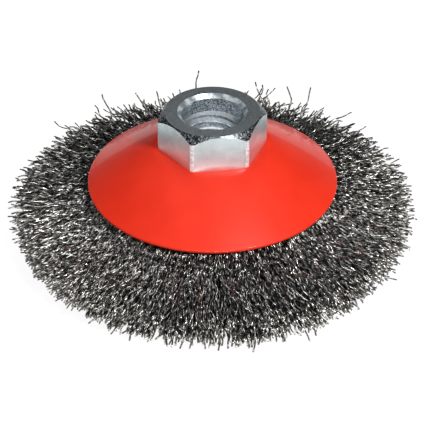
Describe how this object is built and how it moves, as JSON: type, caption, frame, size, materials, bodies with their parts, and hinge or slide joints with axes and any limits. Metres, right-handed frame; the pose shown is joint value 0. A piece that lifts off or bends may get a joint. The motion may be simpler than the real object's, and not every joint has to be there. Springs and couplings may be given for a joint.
{
  "type": "conical wire brush for angle grinder",
  "caption": "Conical brush of crimped steel wire with a painted sheet-steel shell and a hexagonal threaded hub nut, for an angle grinder's spindle.",
  "frame": {"origin": "centre of the circle that the wire tips stand on, on the spindle axis", "axes": "+Z along the spindle axis, from the wire tips up through the hub nut; +Y square to two of the nut's flats"},
  "size_m": [0.1, 0.1, 0.0349],
  "materials": {
    "zinc_plate": "bright zinc-plated machined steel",
    "red_paint": "smooth gloss powder coat",
    "plate_steel": "zinc-plated pressed sheet",
    "ring_steel": "plain drawn steel wire",
    "crimped_wire": "plain drawn steel wire, crimped"
  },
  "bodies": {
    "root": {"hub_nut": "zinc_plate", "upper_shell": "red_paint", "retaining_plate": "plate_steel", "anchor_ring": "ring_steel", "wire_hank_01": "crimped_wire", "wire_hank_02": "crimped_wire", "wire_hank_03": "crimped_wire", "wire_hank_04": "crimped_wire", "wire_hank_05": "crimped_wire", "wire_hank_06": "crimped_wire", "wire_hank_07": "crimped_wire", "wire_hank_08": "crimped_wire", "wire_hank_09": "crimped_wire", "wire_hank_10": "crimped_wire", "wire_hank_11": "crimped_wire", "wire_hank_12": "crimped_wire", "wire_hank_13": "crimped_wire", "wire_hank_14": "crimped_wire", "wire_hank_15": "crimped_wire", "wire_hank_16": "crimped_wire", "wire_hank_17": "crimped_wire", "wire_hank_18": "crimped_wire", "wire_hank_19": "crimped_wire", "wire_hank_20": "crimped_wire", "wire_hank_21": "crimped_wire", "wire_hank_22": "crimped_wire", "wire_hank_23": "crimped_wire", "wire_hank_24": "crimped_wire"}
  },
  "joints": []
}
